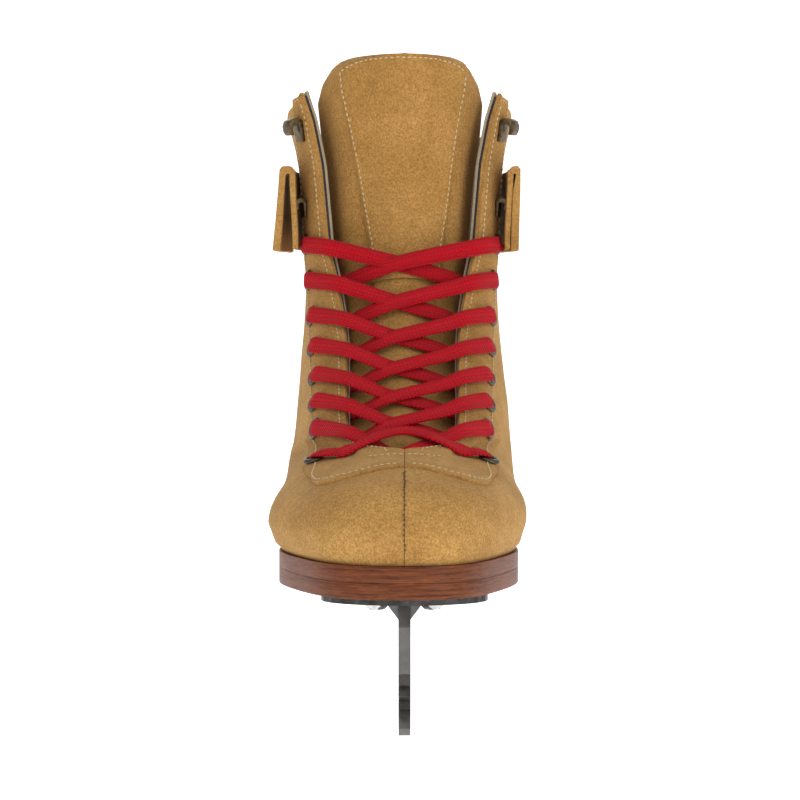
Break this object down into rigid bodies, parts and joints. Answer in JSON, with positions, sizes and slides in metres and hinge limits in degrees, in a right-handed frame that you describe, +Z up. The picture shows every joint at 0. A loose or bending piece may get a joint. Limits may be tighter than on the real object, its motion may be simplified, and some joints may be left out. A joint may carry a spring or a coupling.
{
  "type": "figure skate",
  "caption": "High lace-up figure skate boot in suede with hinged side flaps, padded tongue, stacked leather sole and heel, and a screwed-on steel blade with toe pick.",
  "frame": {"origin": "centre of the flat facet in the middle of the runner, where the blade stands on the ice", "axes": "+Z up the leg, -Y towards the toe, -X towards the outer side of a right foot"},
  "size_m": [0.1068, 0.279, 0.272],
  "materials": {
    "suede": "matte nubuck suede",
    "suede_trim": "matte nubuck suede",
    "tongue": "matte nubuck suede over foam",
    "padding": "black foam",
    "lining": "soft beige lining",
    "board": "fibre board",
    "leather_sole": "polished stacked leather edge",
    "blade_steel": "dull satin steel",
    "plate_steel": "satin steel",
    "spring_steel": "plain spring steel",
    "screw": "bright chrome",
    "bronze": "antique bronze",
    "lace": "flat woven lace"
  },
  "bodies": {
    "boot_and_blade": {"upper_left": "suede", "upper_right": "suede", "eyestay_left": "suede_trim", "eyestay_right": "suede_trim", "lace_keeper": "suede_trim", "flap_tab_left": "suede_trim", "flap_tab_right": "suede_trim", "tongue_lower": "tongue", "padding_left": "padding", "padding_right": "padding", "collar_padding": "padding", "lining": "lining", "tongue_lower_lining": "lining", "footbed": "lining", "heel_counter": "board", "insole_board": "board", "midsole": "leather_sole", "outsole": "leather_sole", "heel_lift_lower": "leather_sole", "heel_lift_upper": "leather_sole", "blade": "blade_steel", "front_plate": "plate_steel", "heel_plate": "plate_steel", "shank": "spring_steel", "front_screw_1": "screw", "front_screw_2": "screw", "front_screw_3": "screw", "front_screw_4": "screw", "front_screw_5": "screw", "front_screw_6": "screw", "heel_screw_1": "screw", "heel_screw_2": "screw", "heel_screw_3": "screw", "heel_screw_4": "screw", "eyelet_left_1": "bronze", "eyelet_left_2": "bronze", "eyelet_left_3": "bronze", "eyelet_left_4": "bronze", "eyelet_left_5": "bronze", "eyelet_left_6": "bronze", "eyelet_left_7": "bronze", "eyelet_left_8": "bronze", "eyelet_right_1": "bronze", "eyelet_right_2": "bronze", "eyelet_right_3": "bronze", "eyelet_right_4": "bronze", "eyelet_right_5": "bronze", "eyelet_right_6": "bronze", "eyelet_right_7": "bronze", "eyelet_right_8": "bronze", "hook_left_1": "bronze", "hook_left_2": "bronze", "hook_right_1": "bronze", "hook_right_2": "bronze", "lace": "lace"},
    "tongue_top": {"tongue_upper": "tongue", "tongue_upper_lining": "lining"},
    "left_flap": {"flap_left": "suede_trim"},
    "right_flap": {"flap_right": "suede_trim"}
  },
  "joints": [
    {"name": "tongue_flex", "type": "hinge", "parent": "boot_and_blade", "child": "tongue_top", "pos_m": [0, 0.0275, 0.193], "axis": [1, 0, 0], "range_deg": [-12, 0], "stiffness_Nm_per_rad": 0.6},
    {"name": "left_flap_lift", "type": "hinge", "parent": "boot_and_blade", "child": "left_flap", "pos_m": [-0.0493, 0.0565, 0.2233], "axis": [0, 1, 0], "range_deg": [0, 100]},
    {"name": "right_flap_lift", "type": "hinge", "parent": "boot_and_blade", "child": "right_flap", "pos_m": [0.047, 0.0565, 0.2233], "axis": [0, -1, 0], "range_deg": [0, 100]}
  ]
}
